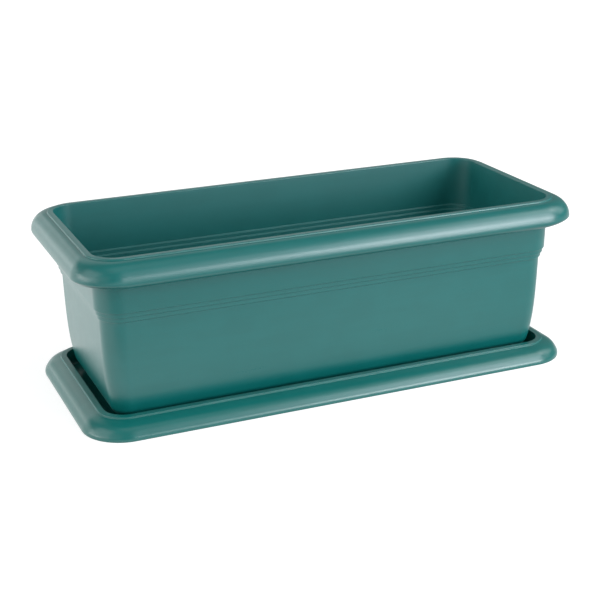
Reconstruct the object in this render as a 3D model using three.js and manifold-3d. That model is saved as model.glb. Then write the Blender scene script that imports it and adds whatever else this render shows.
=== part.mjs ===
// A balcony planter: a long moulded trough with a rolled rim, standing loose in its saucer.
// Millimetres, +X along the trough, +Z up. The origin is on the ground, under the middle.
import * as THREE from "three";
import { mergeVertices } from "three/addons/utils/BufferGeometryUtils.js";
import Module from "manifold-3d";

// The trough's mouth, measured between the inner edges of the rim.
const MOUTH_LENGTH = 462;
const MOUTH_WIDTH = 181.6;
const MOUTH_CORNER_RADIUS = 23;

// The trough's wall, from the top of the rim down to the underside of its base.
const TROUGH_DEPTH = 160.3;
const TROUGH_WALL = 1.8;
const DRAFT_DEG = 1.25;
const TUCK = 7; // how far the wall curves in towards its base, beyond the draft
const TUCK_POWER = 4;
const BASE_FILLET = 13;
const BASE_CORNER_RADIUS = 8;

// The ledges round the trough, where the wall steps in below the plain band.
const LEDGE_COUNT = 3;
const LEDGE_DEPTH = 52.5;
const LEDGE_PITCH = 4.6;
const LEDGE_STEP = 1.4;
const LEDGE_DROP = 0.6;

// The rim: a flat bead round the mouth, then a hollow lip that rolls out, down and in again.
const BEAD_WIDTH = 6;
const BEAD_STEP = 1.4;
const LIP_REACH = 21;
const LIP_CROWN = 17.1; // from the bead's step down to where the lip is widest
const LIP_UNDER = 7.8; // the lip's upright radius below that
const LIP_TURN_DEG = 47; // how far round that radius the lip goes before it ends
const LIP_CORNER_RADIUS = 37.5; // at its widest
const LIP_EDGE_CORNER_RADIUS = 46; // at its lower edge
const EDGE_ROUND = 0.9;

// The feet and drain holes in the trough's base.
const FOOT_HEIGHT = 5;
const FOOT_RADIUS = 9;
const FOOT_INSET = 22; // from the edge of the flat base to a foot's middle
const FEET_PER_ROW = 3;
const DRAIN_HOLE_DIAMETER = 5.5;
const DRAIN_HOLES_PER_ROW = 6;
const DRAIN_HOLE_PITCH = 62;
const DRAIN_ROW_SPACING = 48;

// The saucer: a tray with a flat land round its top and a skirt that falls to the ground.
const SAUCER_HEIGHT = 17.4;
const SAUCER_WALL = 1.8;
const SAUCER_GAP = 7.6; // between the trough's wall and the tray's edge, at the saucer's top
const SAUCER_CORNER_RADIUS = 20.5;
const TRAY_DRAFT_DEG = 5;
const TRAY_FILLET = 4;
const LAND_WIDTH = 5.9;
const LAND_DROP = 0.2; // how much lower the land's outer edge is than its inner one
const LAND_STEP = 1.9;
const LAND_EDGE_ROUND = 0.5;
const SKIRT_REACH = 16; // from the land's outer edge to the skirt's foot
const SKIRT_POWER = 3.8; // how soon the shoulder beside the land turns down
const SKIRT_LEAN_DEG = 30.5; // from upright, of the slope below the shoulder
const SKIRT_FOOT_ROUND = 8.7; // the radius between that slope and the upright foot
const SKIRT_FOOT_HEIGHT = 2;
const SKIRT_FOOT_CORNER_RADIUS = 40;

const SEAT_GAP = 0.3; // between the trough's feet and the floor of the saucer

// How finely the curves are faceted.
const CORNER_STEPS = 8;
const TUCK_STEPS = 7;
const FILLET_STEPS = 5;
const ROLL_STEPS = 9;
const LIP_UNDER_STEPS = 3;
const EDGE_STEPS = 2;
const ROUND_SIDES = 24;

const baseUnderside = SAUCER_WALL + SEAT_GAP + FOOT_HEIGHT;
const rimTop = baseUnderside + TROUGH_DEPTH;
const draftSlope = Math.tan(THREE.MathUtils.degToRad(DRAFT_DEG));
const lastLedgeDepth = LEDGE_DEPTH + (LEDGE_COUNT - 1) * LEDGE_PITCH + LEDGE_DROP;
const tuckLength = TROUGH_DEPTH - lastLedgeDepth;

// A section point: its distance outside the mouth's edge, and its height.
const point = (out, z) => new THREE.Vector2(out, z);

// A quarter of an ellipse, or the part of it between two angles in degrees.
function arc(centre, radiusOut, radiusUp, fromDeg, toDeg, steps) {
  return Array.from({ length: steps + 1 }, (_, i) => {
    const angle = THREE.MathUtils.degToRad(THREE.MathUtils.lerp(fromDeg, toDeg, i / steps));
    return point(centre.x + radiusOut * Math.cos(angle), centre.y + radiusUp * Math.sin(angle));
  });
}

// The same line moved to its right as it runs, or to its left where distance is negative,
// with mitred corners, so that the wall between the two lines is even.
function offsetLine(line, distance) {
  const rights = line.slice(1).map((end, i) => {
    const along = end.clone().sub(line[i]).normalize();
    return point(along.y, -along.x);
  });
  return line.map((corner, i) => {
    const before = rights[Math.max(i - 1, 0)];
    const after = rights[Math.min(i, rights.length - 1)];
    const mitre = before.clone().add(after).normalize();
    return corner.clone().addScaledVector(mitre, distance / mitre.dot(before));
  });
}

// How far the trough's outer wall lies outside the mouth's edge without its ledges, at a
// depth below the top of the rim: a straight draft, then a tuck that grows towards the base.
function plainWallOut(depth) {
  const share = Math.max(depth - lastLedgeDepth, 0) / tuckLength;
  return TROUGH_WALL - depth * draftSlope - TUCK * share ** TUCK_POWER;
}

const ledgesTotal = LEDGE_COUNT * LEDGE_STEP;
const lowerWallOut = (depth) => plainWallOut(depth) - ledgesTotal;

// The wall's lean from upright, in degrees, at a depth below the ledges.
function wallLean(depth) {
  const share = (depth - lastLedgeDepth) / tuckLength;
  const slope = draftSlope + (TUCK * TUCK_POWER * share ** (TUCK_POWER - 1)) / tuckLength;
  return THREE.MathUtils.radToDeg(Math.atan(slope));
}

// The depth at which the base's fillet leaves the wall, so that it ends flat on the base.
function filletStart() {
  let depth = TROUGH_DEPTH - BASE_FILLET;
  for (let pass = 0; pass < 20; pass += 1) {
    const lean = THREE.MathUtils.degToRad(wallLean(depth));
    depth = TROUGH_DEPTH - BASE_FILLET * (1 - Math.sin(lean));
  }
  return depth;
}

// The trough's outer wall, from a depth under the rim down to the edge of the flat base.
function troughWallLine(topDepth) {
  const line = [point(plainWallOut(topDepth), rimTop - topDepth)];
  for (let ledge = 0; ledge < LEDGE_COUNT; ledge += 1) {
    const upper = LEDGE_DEPTH + ledge * LEDGE_PITCH;
    const lower = upper + LEDGE_DROP;
    line.push(point(plainWallOut(upper) - ledge * LEDGE_STEP, rimTop - upper));
    line.push(point(plainWallOut(lower) - (ledge + 1) * LEDGE_STEP, rimTop - lower));
  }
  const filletDepth = filletStart();
  for (let step = 1; step < TUCK_STEPS; step += 1) {
    const depth = THREE.MathUtils.lerp(lastLedgeDepth, filletDepth, step / TUCK_STEPS);
    line.push(point(lowerWallOut(depth), rimTop - depth));
  }
  const lean = THREE.MathUtils.degToRad(wallLean(filletDepth));
  const centre = point(
    lowerWallOut(filletDepth) - BASE_FILLET * Math.cos(lean),
    baseUnderside + BASE_FILLET,
  );
  line.push(...arc(centre, BASE_FILLET, BASE_FILLET, -THREE.MathUtils.radToDeg(lean), -90, FILLET_STEPS));
  return line;
}

const lipWidestZ = rimTop - BEAD_STEP - LIP_CROWN;
const lipEdgeZ = lipWidestZ - LIP_UNDER * Math.sin(THREE.MathUtils.degToRad(LIP_TURN_DEG));
const beadCornerRadius = MOUTH_CORNER_RADIUS + BEAD_WIDTH;

// The rolled lip, from the bead's step out to its widest, then in to its lower edge.
function lipLine() {
  const centre = point(BEAD_WIDTH, lipWidestZ);
  const reach = LIP_REACH - BEAD_WIDTH;
  const crown = arc(centre, reach, LIP_CROWN, 90, 0, ROLL_STEPS);
  const under = arc(centre, reach, LIP_UNDER, 0, -LIP_TURN_DEG, LIP_UNDER_STEPS);
  return [...crown, ...under.slice(1)];
}

// The bead's flat top between its two rounded edges.
function beadLine() {
  const innerEdge = arc(point(EDGE_ROUND, rimTop - EDGE_ROUND), EDGE_ROUND, EDGE_ROUND, 180, 90, EDGE_STEPS);
  const outerEdge = arc(
    point(BEAD_WIDTH - EDGE_ROUND, rimTop - EDGE_ROUND),
    EDGE_ROUND,
    EDGE_ROUND,
    90,
    0,
    EDGE_STEPS,
  );
  return [...innerEdge, ...outerEdge];
}

// The trough's whole section, from the edge of its floor inside, over the rim, to its base.
function troughSection() {
  const outer = troughWallLine(BEAD_STEP + TROUGH_WALL);
  const inner = offsetLine(troughWallLine(BEAD_STEP), TROUGH_WALL);
  const lip = lipLine();
  const underLip = offsetLine(lip, TROUGH_WALL);
  return [...inner.reverse(), ...beadLine(), ...lip, ...underLip.reverse(), ...outer];
}

// The lip's corners are squarer at its widest than at its lower edge.
function lipCornerRadius(out, z) {
  if (z < lipWidestZ) {
    const fallen = (lipWidestZ - z) / (lipWidestZ - lipEdgeZ);
    return THREE.MathUtils.lerp(LIP_CORNER_RADIUS, LIP_EDGE_CORNER_RADIUS, fallen);
  }
  const reached = (out - BEAD_WIDTH) / (LIP_REACH - BEAD_WIDTH);
  return THREE.MathUtils.lerp(beadCornerRadius, LIP_CORNER_RADIUS, reached);
}

// The corners of the bead and of the wall under it share a middle with the mouth's, and the
// wall's tighten to the base's own radius below that.
function troughCornerRadius(out, z, baseOut) {
  if (out > BEAD_WIDTH) return lipCornerRadius(out, z);
  if (out >= 0) return MOUTH_CORNER_RADIUS + out;
  return THREE.MathUtils.lerp(MOUTH_CORNER_RADIUS, BASE_CORNER_RADIUS, out / baseOut);
}

// The tray's inner edge follows the trough's wall at the saucer's top.
const trayOut = lowerWallOut(rimTop - SAUCER_HEIGHT) + SAUCER_GAP;
const landOut = trayOut + LAND_WIDTH;
const skirtTop = SAUCER_HEIGHT - LAND_DROP - LAND_STEP;

// The tray's inside, from under its edge down the wall to the edge of its flat floor.
function trayLine() {
  const centre = point(
    trayOut - (SAUCER_HEIGHT - SAUCER_WALL) * Math.tan(THREE.MathUtils.degToRad(TRAY_DRAFT_DEG)) - TRAY_FILLET,
    SAUCER_WALL + TRAY_FILLET,
  );
  const fillet = arc(centre, TRAY_FILLET, TRAY_FILLET, -TRAY_DRAFT_DEG, -90, FILLET_STEPS);
  return [point(trayOut, SAUCER_HEIGHT - LAND_EDGE_ROUND), ...fillet];
}

// The land round the saucer's top, which falls a little between its two rounded edges.
function landLine() {
  const round = LAND_EDGE_ROUND;
  const inner = point(trayOut + round, SAUCER_HEIGHT - round);
  const outer = point(landOut - round, SAUCER_HEIGHT - LAND_DROP - round);
  const innerEdge = arc(inner, round, round, 180, 90, EDGE_STEPS);
  const outerEdge = arc(outer, round, round, 90, 0, EDGE_STEPS);
  return [...innerEdge.slice(1), ...outerEdge];
}

// The skirt, from the land's step over a round shoulder and down a slope to its upright foot.
// straight is the part of the slope's reach that is gained evenly, which sets its last lean.
function skirtLine() {
  const lean = THREE.MathUtils.degToRad(SKIRT_LEAN_DEG);
  const slopeFoot = SKIRT_FOOT_HEIGHT + SKIRT_FOOT_ROUND * Math.sin(lean);
  const slopeReach = SKIRT_REACH - SKIRT_FOOT_ROUND * (1 - Math.cos(lean));
  const straight = (Math.tan(lean) * (skirtTop - slopeFoot)) / slopeReach;
  const slope = Array.from({ length: ROLL_STEPS }, (_, step) => {
    const share = step / ROLL_STEPS;
    const shoulder = 1 - (1 - share) ** SKIRT_POWER;
    const out = landOut + slopeReach * THREE.MathUtils.lerp(shoulder, share, straight);
    return point(out, THREE.MathUtils.lerp(skirtTop, slopeFoot, share));
  });
  const centre = point(landOut + SKIRT_REACH - SKIRT_FOOT_ROUND, SKIRT_FOOT_HEIGHT);
  const round = arc(centre, SKIRT_FOOT_ROUND, SKIRT_FOOT_ROUND, SKIRT_LEAN_DEG, 0, FILLET_STEPS);
  return [...slope, ...round, point(landOut + SKIRT_REACH, 0)];
}

// The saucer's whole section, from the edge of its floor inside, over the land, to its base.
function saucerSection() {
  const inside = trayLine();
  const under = offsetLine(inside, -SAUCER_WALL);
  under[0].y = skirtTop - SAUCER_WALL;
  const skirt = skirtLine();
  const underSkirt = offsetLine(skirt, SAUCER_WALL);
  return [...inside.reverse(), ...landLine(), ...skirt, ...underSkirt.reverse(), ...under];
}

// One ring of points round the object, walked anticlockwise as seen from above.
function ring(out, z, radius) {
  const corners = [
    [1, 1],
    [-1, 1],
    [-1, -1],
    [1, -1],
  ];
  return corners.flatMap(([signX, signY], quarter) => {
    const middleX = signX * (MOUTH_LENGTH / 2 + out - radius);
    const middleY = signY * (MOUTH_WIDTH / 2 + out - radius);
    return Array.from({ length: CORNER_STEPS + 1 }, (_, step) => {
      const angle = (quarter + step / CORNER_STEPS) * (Math.PI / 2);
      return [middleX + radius * Math.cos(angle), middleY + radius * Math.sin(angle), z];
    });
  });
}

// A section carried round the mouth's outline and closed by a flat floor and base.
function sweptShell(section, cornerRadius) {
  const rings = section.map(({ x, y }) => ring(x, y, cornerRadius(x, y)));
  const count = rings[0].length;
  const positions = rings.flat();
  const floorMiddle = positions.push([0, 0, section[0].y]) - 1;
  const baseMiddle = positions.push([0, 0, section.at(-1).y]) - 1;
  const lastRing = (rings.length - 1) * count;
  const faces = [];
  for (let side = 0; side < count; side += 1) {
    const next = (side + 1) % count;
    for (let start = 0; start < lastRing; start += count) {
      const [a, b] = [start + side, start + next];
      faces.push(a, a + count, b, b, a + count, b + count);
    }
    faces.push(floorMiddle, side, next);
    faces.push(baseMiddle, lastRing + next, lastRing + side);
  }
  const geometry = new THREE.BufferGeometry();
  geometry.setAttribute("position", new THREE.Float32BufferAttribute(positions.flat(), 3));
  geometry.setIndex(faces);
  return geometry;
}

const wasm = await Module();
wasm.setup();

function solidOf(geometry) {
  const bare = geometry.clone();
  bare.deleteAttribute("normal");
  bare.deleteAttribute("uv");
  const merged = mergeVertices(bare, 1e-4);
  return new wasm.Manifold(
    new wasm.Mesh({
      numProp: 3,
      vertProperties: merged.getAttribute("position").array,
      triVerts: new Uint32Array(merged.index.array),
    }),
  );
}

function geometryOf(solid) {
  const mesh = solid.getMesh();
  const geometry = new THREE.BufferGeometry();
  geometry.setAttribute("position", new THREE.BufferAttribute(mesh.vertProperties, 3));
  geometry.setIndex(new THREE.BufferAttribute(mesh.triVerts, 1));
  return geometry;
}

// An upright round post with its middle at x, y, reaching from one height to another.
function post(x, y, radius, fromZ, toZ) {
  const geometry = new THREE.CylinderGeometry(radius, radius, toZ - fromZ, ROUND_SIDES);
  geometry.rotateX(Math.PI / 2);
  geometry.translate(x, y, (fromZ + toZ) / 2);
  return solidOf(geometry);
}

// Places spread evenly along X about the middle, in two rows at plus and minus rowY.
function twoRows(count, pitch, rowY) {
  return Array.from({ length: count }, (_, i) => (i - (count - 1) / 2) * pitch).flatMap((x) => [
    [x, rowY],
    [x, -rowY],
  ]);
}

function trough() {
  const section = troughSection();
  const baseOut = section.at(-1).x;
  let body = solidOf(sweptShell(section, (out, z) => troughCornerRadius(out, z, baseOut)));

  const footY = MOUTH_WIDTH / 2 + baseOut - FOOT_INSET;
  const footX = MOUTH_LENGTH / 2 + baseOut - FOOT_INSET;
  const footPitch = (2 * footX) / (FEET_PER_ROW - 1);
  for (const [x, y] of twoRows(FEET_PER_ROW, footPitch, footY)) {
    const foot = post(x, y, FOOT_RADIUS, baseUnderside - FOOT_HEIGHT, baseUnderside + TROUGH_WALL / 2);
    body = body.add(foot);
  }

  const floorTop = baseUnderside + TROUGH_WALL;
  for (const [x, y] of twoRows(DRAIN_HOLES_PER_ROW, DRAIN_HOLE_PITCH, DRAIN_ROW_SPACING / 2)) {
    const hole = post(x, y, DRAIN_HOLE_DIAMETER / 2, baseUnderside - TROUGH_WALL, floorTop + TROUGH_WALL);
    body = body.subtract(hole);
  }
  return geometryOf(body);
}

// The land's corners share a middle with the tray's; the skirt's are squarer towards its foot.
function saucerCornerRadius(out) {
  if (out <= landOut) return SAUCER_CORNER_RADIUS + out - trayOut;
  const reached = (out - landOut) / SKIRT_REACH;
  return THREE.MathUtils.lerp(SAUCER_CORNER_RADIUS + LAND_WIDTH, SKIRT_FOOT_CORNER_RADIUS, reached);
}

function saucer() {
  return geometryOf(solidOf(sweptShell(saucerSection(), saucerCornerRadius)));
}

// Satin polypropylene, dark teal green.
function planterPlastic() {
  return new THREE.MeshStandardMaterial({ color: 0x0a6966, roughness: 0.3, metalness: 0 });
}

function piece(name, geometry) {
  const mesh = new THREE.Mesh(geometry, planterPlastic());
  mesh.name = name;
  return mesh;
}

const planter = new THREE.Group();
planter.add(piece("trough", trough()));
planter.add(piece("saucer", saucer()));

export default planter;
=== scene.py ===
"""A balcony planter: a long moulded trough with a rolled rim, standing loose in its saucer.

Each moulding is one thin section carried round a rounded rectangle. The sections, their small
rounded edges, the feet and the drain holes are worked out here at a finer step than in the
frame's own solids, from the frame's boxes and the moulding's own sizes. Everything is in
metres, with the origin on the ground under the middle, +X along the trough and +Z up.
"""

from __future__ import annotations

import logging
import math
from dataclasses import dataclass, field
from enum import Enum

import bpy
import numpy as np
from mathutils import Matrix, Vector

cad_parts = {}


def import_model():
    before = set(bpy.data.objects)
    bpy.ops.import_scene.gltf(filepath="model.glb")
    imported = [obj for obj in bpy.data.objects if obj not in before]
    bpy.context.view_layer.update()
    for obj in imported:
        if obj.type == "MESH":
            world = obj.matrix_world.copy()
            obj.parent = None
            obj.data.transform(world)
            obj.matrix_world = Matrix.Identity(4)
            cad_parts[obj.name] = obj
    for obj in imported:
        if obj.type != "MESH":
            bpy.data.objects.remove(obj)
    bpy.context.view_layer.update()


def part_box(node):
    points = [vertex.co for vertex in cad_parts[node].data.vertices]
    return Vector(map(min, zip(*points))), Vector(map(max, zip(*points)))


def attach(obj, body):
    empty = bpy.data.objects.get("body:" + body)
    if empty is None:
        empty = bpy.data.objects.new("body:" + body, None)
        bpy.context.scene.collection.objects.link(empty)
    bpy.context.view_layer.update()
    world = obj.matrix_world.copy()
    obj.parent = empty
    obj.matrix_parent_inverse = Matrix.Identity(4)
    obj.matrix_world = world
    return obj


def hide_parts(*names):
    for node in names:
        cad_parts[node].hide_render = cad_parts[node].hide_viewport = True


LOG = logging.getLogger("planter")
MM = 0.001
SHARP_DEGREES = 42  # edges that turn by more than this stay sharp
EASE_STEPS = 6  # stretches in a rounded edge's quarter turn
FLOOR_RUN = 1.5 * MM  # how far a section follows a flat floor past its fillet


# Lines in the section plane: column 0 is the distance outside the mouth's edge, column 1 the height.


def unit(vectors: np.ndarray) -> np.ndarray:
    """The same vectors, each divided by its own length.

    Args:
        vectors: Rows of components.

    Returns:
        Rows of length one.
    """
    return vectors / np.linalg.norm(vectors, axis=-1, keepdims=True)


def arc_line(
    centre: tuple[float, float], radii: tuple[float, float], degrees: tuple[float, float], steps: int
) -> np.ndarray:
    """Part of an ellipse: centre + (radius out * cos angle, radius up * sin angle).

    Args:
        centre: The ellipse's middle, out and up.
        radii: Its radii, out and up.
        degrees: The first and the last angle.
        steps: How many stretches the part is cut into.

    Returns:
        steps + 1 points.
    """
    angles = np.radians(np.linspace(degrees[0], degrees[1], steps + 1))
    return np.column_stack([centre[0] + radii[0] * np.cos(angles), centre[1] + radii[1] * np.sin(angles)])


def offset_line(line: np.ndarray, distance: float) -> np.ndarray:
    """The line moved to its right as it runs, with mitred corners, so the wall between is even.

    At each point the two neighbouring right-hand normals are averaged to a mitre, and the point
    moves along it by distance / cos(half the turn).

    Args:
        line: Points of an open line.
        distance: How far it moves, negative to the left.

    Returns:
        As many points as the line has.
    """
    along = unit(np.diff(line, axis=0))
    rights = np.column_stack([along[:, 1], -along[:, 0]])
    before = np.vstack([rights[:1], rights])
    after = np.vstack([rights, rights[-1:]])
    mitre = unit(before + after)
    return line + mitre * (distance / np.sum(mitre * before, axis=1, keepdims=True))


def eased_line(corners: np.ndarray, cuts: np.ndarray, steps: int = 4) -> np.ndarray:
    """The line with some corners rounded by a curve that starts and ends a cut's length away.

    With A and C on the two sides at that distance from the corner P, the curve is
    (1 - s)^2 A + 2 s (1 - s) P + s^2 C for s from 0 to 1. Corners with no cut stay as they are.

    Args:
        corners: Points of an open line.
        cuts: The length cut off beside each corner, 0 to keep it.
        steps: How many stretches each rounded corner has.

    Returns:
        The points of the eased line.
    """
    along = unit(np.diff(corners, axis=0))
    incoming = np.vstack([along[:1], along])
    outgoing = np.vstack([along, along[-1:]])
    start = corners - incoming * cuts[:, None]
    end = corners + outgoing * cuts[:, None]
    s = np.linspace(0, 1, steps + 1)[None, :, None]
    curve = (1 - s) ** 2 * start[:, None] + 2 * s * (1 - s) * corners[:, None] + s**2 * end[:, None]
    keep = (cuts[:, None] > 0) | (np.arange(steps + 1)[None, :] == 0)
    return curve[keep]


def joined(*parts: tuple[np.ndarray, float]) -> tuple[np.ndarray, np.ndarray]:
    """Several lines put end to end, each with one cut for all its points.

    Args:
        parts: Pairs of points and the cut that their corners get.

    Returns:
        All the points, and all their cuts.
    """
    points = np.vstack([np.atleast_2d(line) for line, _ in parts])
    cuts = np.concatenate([np.full(len(np.atleast_2d(line)), cut) for line, cut in parts])
    return points, cuts


@dataclass(frozen=True)
class Outline:
    """The mouth's outline, which every ring of both mouldings is set out from."""

    half_length: float
    half_width: float
    corner_steps: int = 26
    support: float = 1.6 * MM  # a ring has one more point this far into each straight side

    def rings(self, out: np.ndarray, height: np.ndarray, radius: np.ndarray) -> np.ndarray:
        """One rounded rectangle for each section point, walked anticlockwise from above.

        A corner's point at angle a is its middle + radius * (cos a, sin a), and the middle lies
        at the half size + out - radius. Each straight side gets two points beside its corners.

        Args:
            out: Each ring's distance outside the mouth's edge.
            height: Each ring's height.
            radius: Each ring's corner radius.

        Returns:
            An array of rings by points by 3.
        """
        signs = np.array([(1, 1), (-1, 1), (-1, -1), (1, -1)], float)
        middle = np.stack([self.half_length + out - radius, self.half_width + out - radius], axis=-1)
        middle = middle[:, None, None, :] * signs[None, :, None, :]
        turns = np.arange(4)[:, None] + np.linspace(0, 1, self.corner_steps + 1)[None, :]
        angles = turns * (math.pi / 2)
        turned = np.stack([np.cos(angles), np.sin(angles)], axis=-1)
        corners = middle + radius[:, None, None, None] * turned[None]
        last = corners[:, :, -1]
        first = np.roll(corners[:, :, 0], -1, axis=1)
        step = unit(first - last) * self.support
        sides = np.stack([last + step, first - step], axis=2)
        flat = np.concatenate([corners, sides], axis=2).reshape(len(out), -1, 2)
        heights = np.broadcast_to(height[:, None, None], (*flat.shape[:2], 1))
        return np.concatenate([flat, heights], axis=2)


def mesh_object(name: str, points: np.ndarray, faces: list[tuple[int, ...]]) -> bpy.types.Object:
    """A new smooth-shaded object at the origin, with its place in its mesh.

    Args:
        name: The piece's name.
        points: Its vertices, in metres.
        faces: Its faces, each a tuple of vertex numbers.

    Returns:
        The object, linked to the scene.
    """
    mesh = bpy.data.meshes.new(name)
    mesh.from_pydata(points.tolist(), [], faces)
    mesh.validate()
    mesh.shade_smooth()
    thing = bpy.data.objects.new(name, mesh)
    bpy.context.scene.collection.objects.link(thing)
    return thing


def swept_shell(name: str, rings: np.ndarray) -> bpy.types.Object:
    """A closed shell through the rings, with a flat face on the first and on the last.

    Point j of ring i joins its neighbours in a quad (i, j), (i + 1, j), (i + 1, j + 1), (i, j + 1).

    Args:
        name: The piece's name.
        rings: An array of rings by points by 3, all walked anticlockwise.

    Returns:
        The object.
    """
    count, around = rings.shape[:2]
    here = np.arange(count * around).reshape(count, around)
    beside = np.roll(here, -1, axis=1)
    quads = np.stack([here[:-1], here[1:], beside[1:], beside[:-1]], axis=-1).reshape(-1, 4)
    faces = [tuple(face) for face in quads.tolist()]
    faces.append(tuple(here[0].tolist()))
    faces.append(tuple(here[-1, ::-1].tolist()))
    return mesh_object(name, rings.reshape(-1, 3), faces)


def turned_posts(name: str, profile: np.ndarray, places: np.ndarray, sides: int = 48) -> bpy.types.Object:
    """Upright turned posts, all in one mesh: radius r at height z becomes (r cos a, r sin a, z).

    Args:
        name: The mesh's name.
        profile: Rows of radius and height, from the lower end to the upper one.
        places: Rows of x and y, one for each post.
        sides: How many flat sides each post has.

    Returns:
        The object.
    """
    angles = np.linspace(0, 2 * math.pi, sides, endpoint=False)
    turn = np.stack([np.cos(angles), np.sin(angles)], axis=-1)
    flat = profile[:, 0, None, None] * turn[None]
    flat = flat[None] + places[:, None, None, :]
    heights = np.broadcast_to(profile[None, :, 1, None, None], (*flat.shape[:3], 1))
    points = np.concatenate([flat, heights], axis=3)
    levels = len(profile)
    numbers = np.arange(len(places) * levels * sides).reshape(len(places), levels, sides)
    beside = np.roll(numbers, -1, axis=2)
    walls = np.stack([numbers[:, :-1], beside[:, :-1], beside[:, 1:], numbers[:, 1:]], axis=-1)
    faces = [tuple(face) for face in walls.reshape(-1, 4).tolist()]
    faces += [tuple(cap) for cap in numbers[:, 0, ::-1].tolist()]
    faces += [tuple(cap) for cap in numbers[:, -1].tolist()]
    return mesh_object(name, points.reshape(-1, 3), faces)


class Cut(Enum):
    """What a boolean does with its tool."""

    JOIN = "UNION"
    REMOVE = "DIFFERENCE"


def worked(body: bpy.types.Object, tool: bpy.types.Object, cut: Cut) -> None:
    """Joins the tool to the body's mesh or cuts it out, and deletes the tool.

    Args:
        body: The object that stays.
        tool: The object that is used up.
        cut: Whether it is joined or removed.
    """
    modifier = body.modifiers.new("work", "BOOLEAN")
    modifier.operation = cut.value
    modifier.solver = "EXACT"
    modifier.object = tool
    graph = bpy.context.evaluated_depsgraph_get()
    mesh = bpy.data.meshes.new_from_object(body.evaluated_get(graph))
    body.modifiers.clear()
    old = body.data
    mesh.name = old.name
    body.data = mesh
    bpy.data.meshes.remove(old)
    spent = tool.data
    bpy.data.objects.remove(tool)
    bpy.data.meshes.remove(spent)


def crisp(body: bpy.types.Object) -> None:
    """Smooths the object's shading, but for edges that turn by more than SHARP_DEGREES."""
    body.data.shade_smooth()
    body.data.set_sharp_from_angle(angle=math.radians(SHARP_DEGREES))


def paired_rows(count: int, pitch: float, row: float) -> np.ndarray:
    """Places spread evenly along X about the middle, in two rows at plus and minus row.

    Args:
        count: How many places are in each row.
        pitch: Their distance along X.
        row: The rows' distance from the middle line.

    Returns:
        Rows of x and y.
    """
    along = (np.arange(count) - (count - 1) / 2) * pitch
    return np.vstack([np.column_stack([along, np.full(count, side * row)]) for side in (1, -1)])


# Materials.


class Number:
    """A number socket of a shader, which adds Math nodes when it is used in a sum."""

    def __init__(self, shader: Shader, socket: bpy.types.NodeSocket) -> None:
        """Keeps the socket and the shader that it belongs to."""
        self.shader = shader
        self.socket = socket

    def _with(self, operation: str, first: object, second: object) -> Number:
        """One Math node on two values.

        Args:
            operation: The Math node's operation.
            first: A number or a Number.
            second: A number or a Number.

        Returns:
            The result.
        """
        return self.shader.number("ShaderNodeMath", {"operation": operation}, {0: first, 1: second})

    def __add__(self, other: object) -> Number:
        """self + other."""
        return self._with("ADD", self, other)

    def __radd__(self, other: object) -> Number:
        """other + self."""
        return self._with("ADD", other, self)

    def __sub__(self, other: object) -> Number:
        """self - other."""
        return self._with("SUBTRACT", self, other)

    def __rsub__(self, other: object) -> Number:
        """other - self."""
        return self._with("SUBTRACT", other, self)

    def __mul__(self, other: object) -> Number:
        """self * other."""
        return self._with("MULTIPLY", self, other)

    def __rmul__(self, other: object) -> Number:
        """other * self."""
        return self._with("MULTIPLY", other, self)

    def eased(self, low: float, high: float) -> Number:
        """The value mapped to 0 at low and before, 1 at high and past it, and a soft S between.

        Args:
            low: The value that gives 0.
            high: The value that gives 1, which may be the smaller one.

        Returns:
            The result.
        """
        return self.shader.number(
            "ShaderNodeMapRange",
            {"interpolation_type": "SMOOTHSTEP"},
            {"Value": self, "From Min": low, "From Max": high},
            "Result",
        )


class Shader:
    """The node tree of a material or of the world, whose nodes all come from one method."""

    def __init__(self, owner: bpy.types.Material | bpy.types.World, output: str) -> None:
        """Empties the tree and adds its output node.

        Args:
            owner: A new material or world.
            output: The output node's type.
        """
        self.owner = owner
        self.owner.use_nodes = True
        self.tree = self.owner.node_tree
        self.tree.nodes.clear()
        self.output = self.node(output, {}, {})

    def node(
        self, kind: str, settings: dict[str, object], sockets: dict[object, object]
    ) -> bpy.types.Node:
        """Adds a node.

        Args:
            kind: The node's type.
            settings: Its own settings, which are made first.
            sockets: For each input, by name or number, a value, a socket or a Number.

        Returns:
            The node.
        """
        made = self.tree.nodes.new(kind)
        for key, value in settings.items():
            setattr(made, key, value)
        for key, value in sockets.items():
            source = value.socket if isinstance(value, Number) else value
            if isinstance(source, bpy.types.NodeSocket):
                self.tree.links.new(source, made.inputs[key])
            else:
                made.inputs[key].default_value = source
        return made

    def number(
        self, kind: str, settings: dict[str, object], sockets: dict[object, object], output: object = 0
    ) -> Number:
        """Adds a node and gives one of its outputs as a Number.

        Args:
            kind: The node's type.
            settings: Its own settings.
            sockets: Its inputs.
            output: The output's name or number.

        Returns:
            The output.
        """
        return Number(self, self.node(kind, settings, sockets).outputs[output])

    def shown(self, surface: bpy.types.NodeSocket) -> bpy.types.Material | bpy.types.World:
        """Joins the surface to the output and gives the finished material or world."""
        self.tree.links.new(surface, self.output.inputs["Surface"])
        return self.owner


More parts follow.
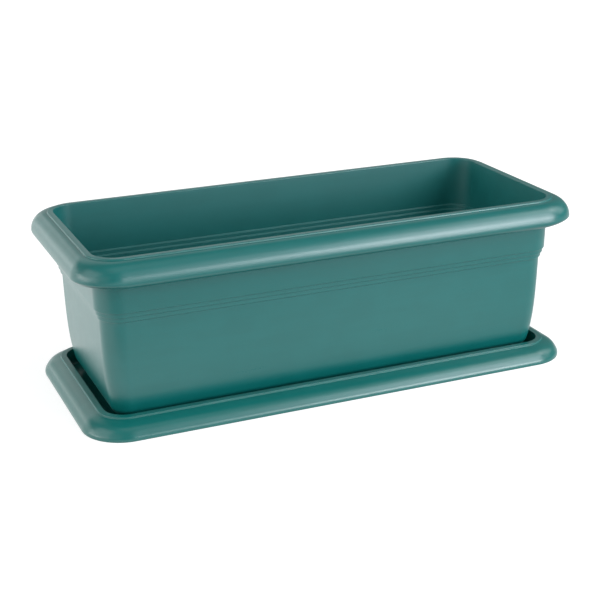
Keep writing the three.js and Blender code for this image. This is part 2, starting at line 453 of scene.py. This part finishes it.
@dataclass(frozen=True)
class MouldedPlastic:
    """Satin polypropylene straight from the mould: a fine grain, slow waves and faint flow marks."""

    name: str
    colour: tuple[float, float, float]
    deep_colour: tuple[float, float, float]
    roughness: float = 0.29
    roughness_spread: float = 0.05
    grain_size: float = 0.55 * MM
    grain_depth: float = 0.002 * MM
    wave_size: float = 42 * MM
    wave_depth: float = 0.06 * MM
    flow_size: float = 11 * MM
    flow_stretch: float = 9.0  # flow marks are this much longer along the trough than across it
    flow_share: float = 0.55  # of the colour's variation, the rest is mottle
    mottle_size: float = 26 * MM
    tone_range: tuple[float, float] = (0.36, 0.64)  # noise from full colour to full deep colour
    grain_roughness: float = 0.04  # how far the grain's tops and pits differ in roughness
    ior: float = 1.6

    def noise(
        self, shader: Shader, place: bpy.types.NodeSocket, size: float, detail: float, coarse: float = 0.5
    ) -> Number:
        """Soft noise on the given place, about 0 to 1.

        Args:
            shader: The tree that it is added to.
            place: The coordinates, in metres.
            size: The size of its blots, in metres.
            detail: How many finer layers it has.
            coarse: How strong each finer layer is, as a share of the one before.

        Returns:
            The noise.
        """
        settings = {"noise_dimensions": "3D"}
        sockets = {"Vector": place, "Scale": 1 / size, "Detail": detail, "Roughness": coarse}
        return shader.number("ShaderNodeTexNoise", settings, sockets, "Fac")

    def made(self) -> bpy.types.Material:
        """Builds the material.

        Returns:
            The material.
        """
        shader = Shader(bpy.data.materials.new(self.name), "ShaderNodeOutputMaterial")
        place = shader.node("ShaderNodeTexCoord", {}, {}).outputs["Object"]
        stretch = {"Vector": place, "Scale": (1 / self.flow_stretch, 1, 1)}
        stretched = shader.node("ShaderNodeMapping", {"vector_type": "POINT"}, stretch).outputs["Vector"]
        waves = self.noise(shader, place, self.wave_size, detail=1.5)
        flow = self.noise(shader, stretched, self.flow_size, detail=4, coarse=0.6)
        mottle = self.noise(shader, place, self.mottle_size, detail=3)
        grain = self.noise(shader, place, self.grain_size, detail=2)
        tone = (self.flow_share * flow + (1 - self.flow_share) * mottle).eased(*self.tone_range)
        colour = shader.node(
            "ShaderNodeMix",
            {"data_type": "RGBA"},
            {"Factor": tone, "A": (*self.colour, 1), "B": (*self.deep_colour, 1)},
        ).outputs["Result"]
        smoothest = self.roughness - 0.5 * self.roughness_spread
        roughness = smoothest + self.roughness_spread * flow + self.grain_roughness * (grain - 0.5)
        height = self.wave_depth * waves + self.grain_depth * grain
        bump = shader.node("ShaderNodeBump", {}, {"Height": height, "Strength": 1.0, "Distance": 1.0})
        surface = shader.node(
            "ShaderNodeBsdfPrincipled",
            {},
            {
                "Base Color": colour,
                "Roughness": roughness,
                "IOR": self.ior,
                "Normal": bump.outputs["Normal"],
            },
        )
        return shader.shown(surface.outputs["BSDF"])


@dataclass(frozen=True)
class StudioPaper:
    """White paper that keeps its soft shadow and reads as white to the camera; reflections see it glow in
    painted patches, which put painted reflections on the planter.
    """

    name: str = "studio_paper"
    paint: float = 0.45
    glow: float = 0.75  # as the camera sees it near the planter
    white: tuple[float, float] = (700 * MM, 1500 * MM)  # between these radii that glow grows to 1
    # The fields from here down lay out a painted reflection: a glow that only reflections see, brighter
    # close in front, far out in front and to the left, dimmer to the right.
    mirrored_far: float = 0.15  # how bright reflections show the paper some way in front
    mirrored_near: float = 0.75  # and close to the planter's front
    near: tuple[float, float] = (-500 * MM, -200 * MM)  # from far to near, along Y
    middle: tuple[float, float] = (-320 * MM, -120 * MM)  # near counts from here on, along X
    right: tuple[float, float] = (120 * MM, 420 * MM)  # and fades here, along X, by right_dimmed
    right_dimmed: float = 0.6
    horizon: tuple[float, float] = (-500 * MM, -1000 * MM)  # far out in front it grows to 1, along Y
    left: tuple[float, float] = (-60 * MM, -270 * MM)  # left of here it grows to 1 as well, along X
    beside: tuple[float, float] = (-320 * MM, -160 * MM)  # but only from here back, along Y

    def made(self) -> bpy.types.Material:
        """Builds the material: matt paint, plus a glow for camera, glossy and transmission rays only; the
        glow that glossy and transmission rays see is a painted reflection, laid out by place.

        Returns:
            The material.
        """
        shader = Shader(bpy.data.materials.new(self.name), "ShaderNodeOutputMaterial")
        place = shader.node("ShaderNodeTexCoord", {}, {}).outputs["Object"]
        axes = shader.node("ShaderNodeSeparateXYZ", {}, {"Vector": place}).outputs
        x = Number(shader, axes["X"])
        y = Number(shader, axes["Y"])
        # Painted reflection: the paper's glow as glossy and transmission rays see it, set by place so the
        # planter's walls mirror bright and dim patches.
        near = y.eased(*self.near) * x.eased(*self.middle)
        near = near * (1 - self.right_dimmed * x.eased(*self.right))
        front = self.mirrored_far + (self.mirrored_near - self.mirrored_far) * near
        front = front + (1 - front) * y.eased(*self.horizon)
        left = x.eased(*self.left) * y.eased(*self.beside)
        painted_reflection = front + (1 - front) * left
        reach = shader.number("ShaderNodeVectorMath", {"operation": "LENGTH"}, {0: place}, "Value")
        seen = self.glow + (1 - self.glow) * reach.eased(*self.white)
        rays = shader.node("ShaderNodeLightPath", {}, {}).outputs
        reflected = Number(shader, rays["Is Glossy Ray"]) + Number(shader, rays["Is Transmission Ray"])
        strength = seen * Number(shader, rays["Is Camera Ray"]) + painted_reflection * reflected
        grey = (self.paint, self.paint, self.paint, 1)
        matt = shader.node("ShaderNodeBsdfDiffuse", {}, {"Color": grey})
        glow = shader.node("ShaderNodeEmission", {}, {"Color": (1, 1, 1, 1), "Strength": strength})
        both = shader.node("ShaderNodeAddShader", {}, {0: matt.outputs[0], 1: glow.outputs[0]})
        return shader.shown(both.outputs[0])


# The two mouldings.


@dataclass
class Trough:
    """The trough: bead, rolled hollow lip, plain band, three ledges, tucked wall, base and feet."""

    finish: MouldedPlastic
    inner_finish: MouldedPlastic
    base_underside: float = field(init=False)
    rim_top: float = field(init=False)
    outline: Outline = field(init=False)
    wall: float = 1.8 * MM
    draft: float = math.tan(math.radians(1.25))
    tuck: float = 7 * MM
    tuck_power: float = 4
    tuck_rings: int = 30
    tuck_spread: float = 0.8  # below 1, the rings stand closer towards the base, where the wall curves
    base_fillet: float = 13 * MM
    base_corner: float = 8 * MM
    mouth_corner: float = 23 * MM
    ledges: int = 3
    ledge_depth: float = 52.5 * MM
    ledge_pitch: float = 4.6 * MM
    ledge_step: float = 1.4 * MM
    ledge_drop: float = 0.6 * MM
    ledge_ease: float = 0.45 * MM
    ledge_margin: float = 2 * MM  # the band's last point is this far above the ledges
    bead_width: float = 6 * MM
    bead_step: float = 1.4 * MM
    bead_ease: float = 0.9 * MM
    lip_reach: float = 21 * MM
    lip_seam: float = 0.4 * MM  # the round where the lip starts at the bead's foot
    lip_crown: float = 17.1 * MM
    lip_under: float = 7.8 * MM
    lip_turn: float = 47
    lip_corner: float = 37.5 * MM
    lip_edge_corner: float = 46 * MM
    lip_edge_ease: float = 0.45  # the lower edge's rounding, as a share of the wall
    foot_height: float = 5 * MM
    foot_radius: float = 9 * MM
    foot_ease: float = 1.2 * MM
    foot_inset: float = 22 * MM
    feet_per_row: int = 3
    hole_radius: float = 2.75 * MM
    hole_flare: float = 0.5 * MM
    holes_per_row: int = 6
    hole_pitch: float = 62 * MM
    hole_rows_apart: float = 48 * MM
    upward: float = 0.3  # a normal's height past which a face inside counts as facing up

    def __post_init__(self) -> None:
        """Takes the place and the outer size from the frame's node."""
        low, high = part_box("trough")
        self.base_underside = low[2] + self.foot_height
        self.rim_top = high[2]
        self.outline = Outline(high[0] - self.lip_reach, high[1] - self.lip_reach)

    @property
    def depth(self) -> float:
        """From the top of the rim to the underside of the base."""
        return self.rim_top - self.base_underside

    @property
    def plain_from(self) -> float:
        """The depth of the last ledge's lower edge, below which the wall is plain."""
        return self.ledge_depth + (self.ledges - 1) * self.ledge_pitch + self.ledge_drop

    @property
    def lip_widest(self) -> float:
        """The height at which the lip reaches furthest."""
        return self.rim_top - self.bead_step - self.lip_crown

    def plain_out(self, depth: np.ndarray | float) -> np.ndarray | float:
        """The wall without its ledges: thickness - draft * depth - tuck * share^power.

        Args:
            depth: Depths below the top of the rim.

        Returns:
            Distances outside the mouth's edge.
        """
        share = np.maximum(depth - self.plain_from, 0) / (self.depth - self.plain_from)
        return self.wall - depth * self.draft - self.tuck * share**self.tuck_power

    def fillet(self) -> tuple[float, float]:
        """Where the base's fillet leaves the wall, so that it ends flat on the base.

        The depth sets the wall's lean, which is the arctangent of its slope, and the lean sets
        how deep the fillet starts. The two are worked out in turns until they settle.

        Returns:
            The depth there, and the wall's lean there in radians.
        """
        length = self.depth - self.plain_from
        depth = self.depth - self.base_fillet
        lean = 0.0
        for _ in range(30):
            share = (depth - self.plain_from) / length
            slope = self.draft + self.tuck * self.tuck_power * share ** (self.tuck_power - 1) / length
            lean = math.atan(slope)
            depth = self.depth - self.base_fillet * (1 - math.sin(lean))
        return depth, lean

    @property
    def base_edge(self) -> float:
        """The flat base's edge, from the mouth's edge, where the fillet ends.

        Returns:
            Its distance outside the mouth's edge.
        """
        start, lean = self.fillet()
        wall = float(self.plain_out(start)) - self.ledges * self.ledge_step
        return wall - self.base_fillet * math.cos(lean)

    def wall_line(self, top_depth: float) -> tuple[np.ndarray, np.ndarray]:
        """The outer wall from a depth under the rim, over the ledges, to a little inside the base.

        Args:
            top_depth: Where the line starts.

        Returns:
            Its corners, and the cut that each one gets.
        """
        rim = self.rim_top
        number = np.arange(self.ledges)
        upper = self.ledge_depth + number * self.ledge_pitch
        lower = upper + self.ledge_drop
        above = np.column_stack([self.plain_out(upper) - number * self.ledge_step, rim - upper])
        below = np.column_stack([self.plain_out(lower) - (number + 1) * self.ledge_step, rim - lower])
        ledges = np.stack([above, below], axis=1).reshape(-1, 2)
        total = self.ledges * self.ledge_step
        start, lean = self.fillet()
        shares = np.linspace(0, 1, self.tuck_rings)[1:-1] ** self.tuck_spread
        depths = self.plain_from + (start - self.plain_from) * shares
        plain = np.column_stack([self.plain_out(depths) - total, rim - depths])
        centre = (self.base_edge, self.base_underside + self.base_fillet)
        radii = (self.base_fillet, self.base_fillet)
        fillet = arc_line(centre, radii, (-math.degrees(lean), -90), 14)
        flat = fillet[-1] - [FLOOR_RUN, 0]
        top = np.array([self.plain_out(top_depth), rim - top_depth])
        band_depth = self.ledge_depth - self.ledge_margin
        band_foot = np.array([self.plain_out(band_depth), rim - band_depth])
        return joined(
            (top, 0),
            (band_foot, 0),
            (ledges, self.ledge_ease),
            (plain, 0),
            (fillet, 0),
            (flat, 0),
        )

    def section(self) -> np.ndarray:
        """The whole section, from the floor's edge inside, over the rim, to the base's edge.

        Returns:
            Rows of distance out and height.
        """
        inner_wall, inner_cuts = self.wall_line(self.bead_step)
        inner = eased_line(offset_line(inner_wall, self.wall)[::-1], inner_cuts[::-1])
        ease = self.bead_ease
        level = self.rim_top - ease
        inner_edge = arc_line((ease, level), (ease, ease), (180, 90), EASE_STEPS)
        outer_edge = arc_line((self.bead_width - ease, level), (ease, ease), (90, 0), EASE_STEPS)
        centre = (self.bead_width, self.lip_widest)
        reach = self.lip_reach - self.bead_width
        crown = arc_line(centre, (reach, self.lip_crown), (90, 0), 34)
        under = arc_line(centre, (reach, self.lip_under), (0, -self.lip_turn), 10)[1:]
        lip = np.vstack([crown, under])
        hollow = offset_line(lip, self.wall)[::-1]
        outer_wall, outer_cuts = self.wall_line(self.bead_step + self.wall)
        outer = eased_line(outer_wall, outer_cuts)
        edge = self.lip_edge_ease * self.wall
        rim, cuts = joined(
            (inner_edge, 0),
            (outer_edge, 0),
            (lip[0], self.lip_seam),
            (lip[1:-1], 0),
            (lip[-1], edge),
            (hollow[0], edge),
            (hollow[1:], 0),
        )
        return np.vstack([inner, eased_line(rim, cuts, 5), outer])

    def corner_radius(self, out: np.ndarray, height: np.ndarray) -> np.ndarray:
        """Each ring's corner radius.

        Above the mouth's edge corners share a middle, below it they tighten in proportion to the
        base's own. Round the lip they run from the bead's radius to the widest ring's, by reach,
        and from there to the lower edge's, by height.

        Args:
            out: Distances outside the mouth's edge.
            height: Heights.

        Returns:
            Radii.
        """
        shared = self.mouth_corner + np.maximum(out, 0)
        share = np.maximum(out / self.base_edge, 0)
        tight = self.mouth_corner + (self.base_corner - self.mouth_corner) * share
        reached = (out - self.bead_width) / (self.lip_reach - self.bead_width)
        bead_corner = self.mouth_corner + self.bead_width
        crown = bead_corner + (self.lip_corner - bead_corner) * reached
        fall = self.lip_under * math.sin(math.radians(self.lip_turn))
        fallen = (self.lip_widest - height) / fall
        under = self.lip_corner + (self.lip_edge_corner - self.lip_corner) * fallen
        lip = np.where(height < self.lip_widest, under, crown)
        return np.where(out > self.bead_width, lip, np.where(out >= 0, shared, tight))

    def feet(self) -> bpy.types.Object:
        """The feet, as one mesh of turned posts with a rounded lower edge.

        Returns:
            The object.
        """
        inset = self.base_edge - self.foot_inset
        pitch = 2 * (self.outline.half_length + inset) / (self.feet_per_row - 1)
        places = paired_rows(self.feet_per_row, pitch, self.outline.half_width + inset)
        ease = self.foot_ease
        low = self.base_underside - self.foot_height
        edge = arc_line((self.foot_radius - ease, low + ease), (ease, ease), (-90, 0), 5)
        middle = np.array([[self.foot_radius - 3 * ease, low]])
        top = np.array([[self.foot_radius, self.base_underside + self.wall / 2]])
        return turned_posts("feet", np.vstack([middle, edge, top]), places)

    def holes(self) -> bpy.types.Object:
        """The drain holes' cutters, which flare a little at both faces of the base.

        Returns:
            The object.
        """
        bottom = self.base_underside
        top = bottom + self.wall
        radius = self.hole_radius
        flare = self.hole_flare
        profile = np.array(
            [
                [radius + 2 * flare, bottom - flare],
                [radius, bottom + flare],
                [radius, top - flare],
                [radius + 2 * flare, top + flare],
            ]
        )
        places = paired_rows(self.holes_per_row, self.hole_pitch, self.hole_rows_apart / 2)
        return turned_posts("holes", profile, places)

    def inside(self, mesh: bpy.types.Mesh) -> np.ndarray:
        """Which faces line the soil's space: above the base, within the mouth's edge, facing in or up.

        Args:
            mesh: The finished mesh.

        Returns:
            One truth value for each face.
        """
        centres = np.empty(3 * len(mesh.polygons))
        normals = np.empty(3 * len(mesh.polygons))
        mesh.polygons.foreach_get("center", centres)
        mesh.polygons.foreach_get("normal", normals)
        centres = centres.reshape(-1, 3)
        normals = normals.reshape(-1, 3)
        mouth = np.array([self.outline.half_length, self.outline.half_width])
        within = np.all(np.abs(centres[:, :2]) < mouth, axis=1)
        above = centres[:, 2] > self.base_underside + self.wall / 2
        inward = np.sum(centres[:, :2] * normals[:, :2], axis=1) < 0
        return within & above & (inward | (normals[:, 2] > self.upward))

    def build(self) -> bpy.types.Object:
        """Builds and dresses the trough.

        Returns:
            The object, which rides on the trough's body.
        """
        section = self.section()
        out, height = section.T
        rings = self.outline.rings(out, height, self.corner_radius(out, height))
        shell = swept_shell("trough_shell", rings)
        worked(shell, self.feet(), Cut.JOIN)
        worked(shell, self.holes(), Cut.REMOVE)
        crisp(shell)
        shell.data.materials.clear()
        shell.data.materials.append(self.finish.made())
        shell.data.materials.append(self.inner_finish.made())
        # The faces inside get the inner finish, whose paler colour is painted light.
        shell.data.polygons.foreach_set("material_index", self.inside(shell.data).astype(np.int32))
        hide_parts("trough")
        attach(shell, "trough")
        return shell


@dataclass
class Saucer:
    """The saucer: tray, land, step and a hollow skirt that falls to the ground."""

    finish: MouldedPlastic
    trough: Trough
    top: float = field(init=False)
    wall: float = 1.8 * MM
    gap: float = 7.6 * MM
    corner: float = 20.5 * MM
    tray_draft: float = 5
    tray_fillet: float = 4 * MM
    land_width: float = 5.9 * MM
    land_drop: float = 0.2 * MM
    land_step: float = 1.9 * MM
    land_ease: float = 0.5 * MM
    step_ease: float = 0.35 * MM
    skirt_reach: float = 16 * MM
    shoulder_power: float = 3.8
    slope_lean: float = 30.5  # degrees from upright, below the shoulder
    foot_round: float = 7.5 * MM
    foot: float = 1.2 * MM  # the upright edge's height
    foot_ease: float = 0.5 * MM  # the foot's outer edge
    foot_ease_in: float = 0.3 * MM  # and its inner one
    foot_corner: float = 40 * MM

    def __post_init__(self) -> None:
        """Takes the height from the frame's node."""
        self.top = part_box("saucer")[1][2]

    @property
    def tray_out(self) -> float:
        """The tray's edge, which follows the trough's wall at the saucer's top.

        Returns:
            Its distance outside the mouth's edge.
        """
        trough = self.trough
        wall = trough.plain_out(trough.rim_top - self.top) - trough.ledges * trough.ledge_step
        return float(wall) + self.gap

    def skirt_line(self) -> np.ndarray:
        """The skirt: a round shoulder, a slope, a round foot and a short upright edge.

        As the slope falls evenly by share, its reach grows by
        straight * share + (1 - straight) * (1 - (1 - share)^power), where straight gives the
        slope its lean at the lower end, and the foot's arc goes on from there.

        Returns:
            Its points, from the land's step to the ground.
        """
        start = self.tray_out + self.land_width
        end = start + self.skirt_reach
        level = self.top - self.land_drop - self.land_step
        lean = math.radians(self.slope_lean)
        fall = level - self.foot - self.foot_round * math.sin(lean)
        reach = self.skirt_reach - self.foot_round * (1 - math.cos(lean))
        straight = math.tan(lean) * fall / reach
        share = np.linspace(0, 1, 40)[:-1]
        shoulder = 1 - (1 - share) ** self.shoulder_power
        out = start + reach * (straight * share + (1 - straight) * shoulder)
        slope = np.column_stack([out, level - fall * share])
        radii = (self.foot_round, self.foot_round)
        foot = arc_line((end - self.foot_round, self.foot), radii, (self.slope_lean, 0), 16)
        return np.vstack([slope, foot, [end, 0]])

    def section(self) -> np.ndarray:
        """The whole section, from the floor's edge inside, over the land, to the base's edge.

        Returns:
            Rows of distance out and height.
        """
        tray_out = self.tray_out
        lean = math.tan(math.radians(self.tray_draft))
        fillet = self.tray_fillet
        centre = (tray_out - (self.top - self.wall) * lean - fillet, self.wall + fillet)
        turn = arc_line(centre, (fillet, fillet), (-self.tray_draft, -90), 12)
        tray = np.vstack([[tray_out, self.top - self.land_ease], turn, turn[-1] - [FLOOR_RUN, 0]])
        under = offset_line(tray, -self.wall)
        skirt = self.skirt_line()
        hollow = offset_line(skirt, self.wall)[::-1]
        under[0, 1] = hollow[-1, 1]
        ease = self.land_ease
        inner = (tray_out + ease, self.top - ease)
        outer = (tray_out + self.land_width - ease, self.top - self.land_drop - ease)
        land_in = arc_line(inner, (ease, ease), (180, 90), EASE_STEPS)[1:]
        land_out = arc_line(outer, (ease, ease), (90, 0), EASE_STEPS)
        line, cuts = joined(
            (tray[::-1], 0),
            (land_in, 0),
            (land_out, 0),
            (skirt[0], self.step_ease),
            (skirt[1:-1], 0),
            (skirt[-1], self.foot_ease),
            (hollow[0], self.foot_ease_in),
            (hollow[1:], 0),
            (under, 0),
        )
        return eased_line(line, cuts)

    def corner_radius(self, out: np.ndarray) -> np.ndarray:
        """Each ring's corner radius.

        The land's corners share a middle with the tray's, and the skirt's run from the land's
        radius to the foot's, by reach, so they are squarer towards the ground.

        Args:
            out: Distances outside the mouth's edge.

        Returns:
            Radii.
        """
        land_out = self.tray_out + self.land_width
        land_corner = self.corner + self.land_width
        reached = (out - land_out) / self.skirt_reach
        skirt = land_corner + (self.foot_corner - land_corner) * reached
        return np.where(out > land_out, skirt, self.corner + out - self.tray_out)

    def build(self) -> bpy.types.Object:
        """Builds and dresses the saucer.

        Returns:
            The object, which rides on the saucer's body.
        """
        out, height = self.section().T
        rings = self.trough.outline.rings(out, height, self.corner_radius(out))
        shell = swept_shell("saucer_shell", rings)
        crisp(shell)
        shell.data.materials.append(self.finish.made())
        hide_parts("saucer")
        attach(shell, "saucer")
        return shell


# The studio.


@dataclass(frozen=True)
class SoftBox:
    """An oblong lamp that looks at the planter, sized by the angles that it takes up from there."""

    name: str
    azimuth: float  # degrees; 0 is in front, along -Y, and 90 is to the right, along +X
    elevation: float  # degrees above the floor
    across: float  # degrees of azimuth from side to side
    tall: float  # degrees from its lower edge to its upper one
    radiance: float
    tint: tuple[float, float, float] = (1, 1, 1)
    distance: float = 2.5

    def place(self, target: Vector) -> bpy.types.Object:
        """Hangs the lamp and turns it to the target.

        An even lamp of area A with radiance L gives pi * A * L watts.

        Args:
            target: The point that it looks at.

        Returns:
            The lamp.
        """
        angle = math.radians(self.azimuth)
        rise = math.radians(self.elevation)
        flat = math.cos(rise)
        away = Vector((math.sin(angle) * flat, -math.cos(angle) * flat, math.sin(rise)))
        data = bpy.data.lights.new(self.name, "AREA")
        data.shape = "RECTANGLE"
        data.size = self.distance * math.radians(self.across) * flat
        data.size_y = self.distance * math.radians(self.tall)
        data.energy = self.radiance * math.pi * data.size * data.size_y
        data.color = self.tint
        lamp = bpy.data.objects.new(self.name, data)
        lamp.location = target + away * self.distance
        lamp.rotation_euler = away.to_track_quat("Z", "Y").to_euler()
        lamp.visible_camera = False
        bpy.context.scene.collection.objects.link(lamp)
        return lamp


@dataclass(frozen=True)
class Studio:
    """A white floor, a dim even world and soft boxes."""

    paper: StudioPaper = StudioPaper()
    world: float = 0.25
    floor_half: float = 6.0
    floor_drop: float = 0.2 * MM  # the paper lies this far under the ground, clear of the saucer's edge
    target: tuple[float, float, float] = (0, 0, 80 * MM)
    boxes: tuple[SoftBox, ...] = ()

    def floor(self) -> None:
        """Lays the paper."""
        half = self.floor_half
        corners = np.array([[-half, -half, 0], [half, -half, 0], [half, half, 0], [-half, half, 0]])
        floor = mesh_object("studio_floor", corners - [0, 0, self.floor_drop], [(0, 1, 2, 3)])
        floor.data.materials.append(self.paper.made())

    def air(self) -> None:
        """Makes the world: white to the camera, dim and even to all else."""
        shader = Shader(bpy.data.worlds.new("studio_air"), "ShaderNodeOutputWorld")
        camera = shader.node("ShaderNodeLightPath", {}, {}).outputs["Is Camera Ray"]
        white = (1, 1, 1, 1)
        dim = shader.node("ShaderNodeBackground", {}, {"Color": white, "Strength": self.world})
        backdrop = shader.node("ShaderNodeBackground", {}, {"Color": white, "Strength": 1})
        sockets = {0: camera, 1: dim.outputs[0], 2: backdrop.outputs[0]}
        mix = shader.node("ShaderNodeMixShader", {}, sockets)
        bpy.context.scene.world = shader.shown(mix.outputs[0])

    def build(self) -> None:
        """Builds the floor, the world and the lamps."""
        self.floor()
        self.air()
        for box in self.boxes:
            box.place(Vector(self.target))


@dataclass(frozen=True)
class ViewPoint:
    """The photograph's camera: where it looks, from which side and how far, and its lens."""

    aim: tuple[float, float, float] = (65.6 * MM, 164.4 * MM, 0)
    yaw: float = 23.017  # degrees; it stands to the left of the planter's front and looks to the right
    pitch: float = 20.234  # degrees downwards
    roll: float = -0.569
    distance: float = 1.5194
    lens: float = 79.436  # millimetres, as is the sensor
    sensor: float = 36
    sees_to: float = 50

    def build(self) -> bpy.types.Object:
        """Builds the camera and makes it the scene's.

        Returns:
            The camera.
        """
        yaw = math.radians(self.yaw)
        pitch = math.radians(self.pitch)
        roll = math.radians(self.roll)
        flat = math.cos(pitch)
        sight = Vector((math.sin(yaw) * flat, math.cos(yaw) * flat, -math.sin(pitch)))
        right = Vector((math.cos(yaw), -math.sin(yaw), 0))
        up = right.cross(sight)
        across = right * math.cos(roll) + up * math.sin(roll)
        upward = across.cross(sight)
        data = bpy.data.cameras.new("view")
        data.lens = self.lens
        data.sensor_width = self.sensor
        data.clip_end = self.sees_to
        camera = bpy.data.objects.new("view", data)
        turned = Matrix((across, upward, -sight)).transposed().to_4x4()
        stand = Vector(self.aim) - sight * self.distance
        camera.matrix_world = Matrix.Translation(stand) @ turned
        bpy.context.scene.collection.objects.link(camera)
        bpy.context.scene.camera = camera
        return camera


TROUGH_FINISH = MouldedPlastic(
    name="trough_satin_plastic",
    colour=(0.003, 0.139, 0.130),
    deep_colour=(0.002, 0.129, 0.120),
)
# The mould's core leaves the inside duller than its polished cavity leaves the outside. The inside's
# colour is also a little paler than the outside's: painted light, standing in for light that the inside's
# walls lack.
INNER_PAINTED_LIGHT_FINISH = MouldedPlastic(
    name="trough_inner_plastic_painted_light",
    colour=(0.004, 0.140, 0.134),
    deep_colour=(0.003, 0.130, 0.124),
    roughness=0.44,
)
SAUCER_FINISH = MouldedPlastic(
    name="saucer_satin_plastic",
    colour=(0.002, 0.138, 0.125),
    deep_colour=(0.001, 0.128, 0.115),
)
COOL = (0.98, 1.0, 1.06)  # the key lamps' light is a little bluer than the rest
SOFT_BOXES = (
    SoftBox(
        "key_low", azimuth=30, elevation=1.7, across=20, tall=8.5, radiance=8.0, tint=COOL, distance=1.4
    ),
    SoftBox("key", azimuth=31, elevation=11.5, across=20, tall=9, radiance=13.0, tint=COOL),
    SoftBox("key_left", azimuth=14, elevation=8.5, across=10, tall=16, radiance=5.0, tint=COOL),
    SoftBox("key_middle", azimuth=37, elevation=20, across=18, tall=9, radiance=6.2, tint=COOL),
    SoftBox("key_high", azimuth=38, elevation=31, across=20, tall=11, radiance=4.9, tint=COOL),
    SoftBox("key_wide", azimuth=34, elevation=26, across=54, tall=44, radiance=1.0, tint=COOL),
    SoftBox("right_high", azimuth=62, elevation=42, across=30, tall=18, radiance=3.2),
    SoftBox("right", azimuth=80, elevation=32, across=34, tall=34, radiance=1.8),
    SoftBox("left_front", azimuth=-44, elevation=22, across=30, tall=30, radiance=0.5),
    SoftBox("left_near", azimuth=-66, elevation=12, across=20, tall=20, radiance=1.7),
    SoftBox("left_low", azimuth=-96, elevation=9, across=40, tall=18, radiance=4.0),
    SoftBox("left_high", azimuth=-84, elevation=36, across=50, tall=34, radiance=1.4),
    SoftBox("back_left", azimuth=-137, elevation=12, across=36, tall=24, radiance=1.3),
    SoftBox("back_left_high", azimuth=-162, elevation=20, across=24, tall=14, radiance=0.9),
    SoftBox("back_low", azimuth=-160, elevation=5, across=24, tall=10, radiance=1.2),
    SoftBox("back", azimuth=170, elevation=10, across=46, tall=20, radiance=0.42),
    SoftBox("back_high", azimuth=170, elevation=40, across=80, tall=34, radiance=0.5),
    SoftBox("top", azimuth=0, elevation=72, across=116, tall=36, radiance=0.53),
)


def main() -> None:
    """Builds the planter, the studio and the camera."""
    logging.basicConfig(level=logging.INFO, format="%(name)s: %(message)s")
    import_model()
    ViewPoint().build()
    trough = Trough(TROUGH_FINISH, INNER_PAINTED_LIGHT_FINISH)
    saucer = Saucer(SAUCER_FINISH, trough)
    for piece in (trough.build(), saucer.build()):
        LOG.info("%s: %d faces", piece.name, len(piece.data.polygons))
    Studio(boxes=SOFT_BOXES).build()
    bpy.context.scene.view_settings.view_transform = "Standard"


if __name__ == "__main__":
    main()
